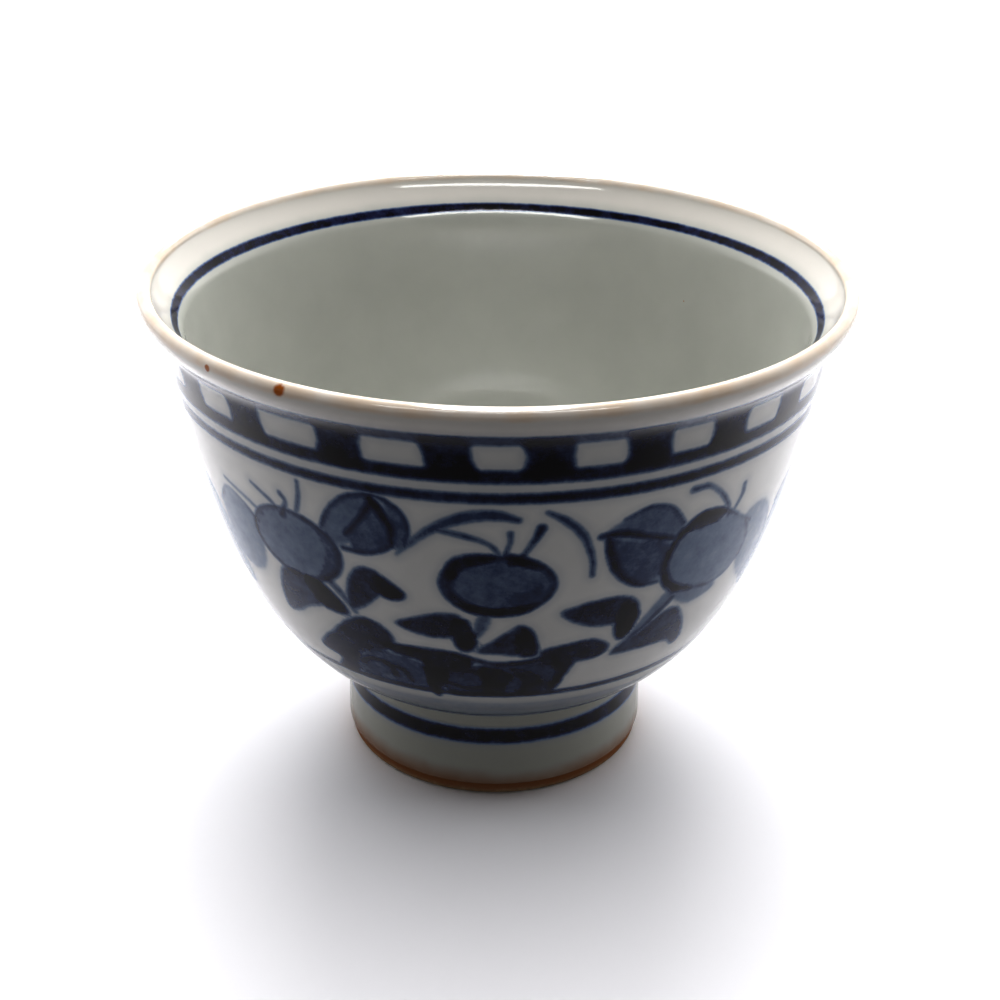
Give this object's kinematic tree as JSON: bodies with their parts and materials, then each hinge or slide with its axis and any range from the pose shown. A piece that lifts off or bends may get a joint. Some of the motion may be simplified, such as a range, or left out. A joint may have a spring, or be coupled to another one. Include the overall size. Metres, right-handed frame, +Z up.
{
  "type": "footed teacup",
  "caption": "Footed tea bowl without a handle, with a flared lip, clear glaze coats over brushed cobalt lines and a bare foot edge.",
  "frame": {"origin": "centre of the plane that the foot stands on", "axes": "+Z up along the cup's axis of revolution, through the mouth; X and Y in the plane of the table; the middle of a white window of the check band faces -Y"},
  "size_m": [0.09, 0.09, 0.0665],
  "materials": {
    "porcelain_clay": "fired, unglazed under its coats",
    "bare_foot_clay": "bare toasted clay, slightly rough",
    "clear_glaze": "glossy grey-white glaze",
    "cobalt": "dark blue underglaze brushwork"
  },
  "bodies": {
    "root": {"clay_bowl": "porcelain_clay", "foot_ring": "bare_foot_clay", "inside_glaze": "clear_glaze", "outside_glaze": "clear_glaze", "foot_well_glaze": "clear_glaze", "inside_line": "cobalt", "lip_line": "cobalt", "check_squares": "cobalt", "window_glaze": "clear_glaze", "band_line": "cobalt", "second_line": "cobalt", "ground_line": "cobalt", "foot_band": "cobalt"}
  },
  "joints": []
}
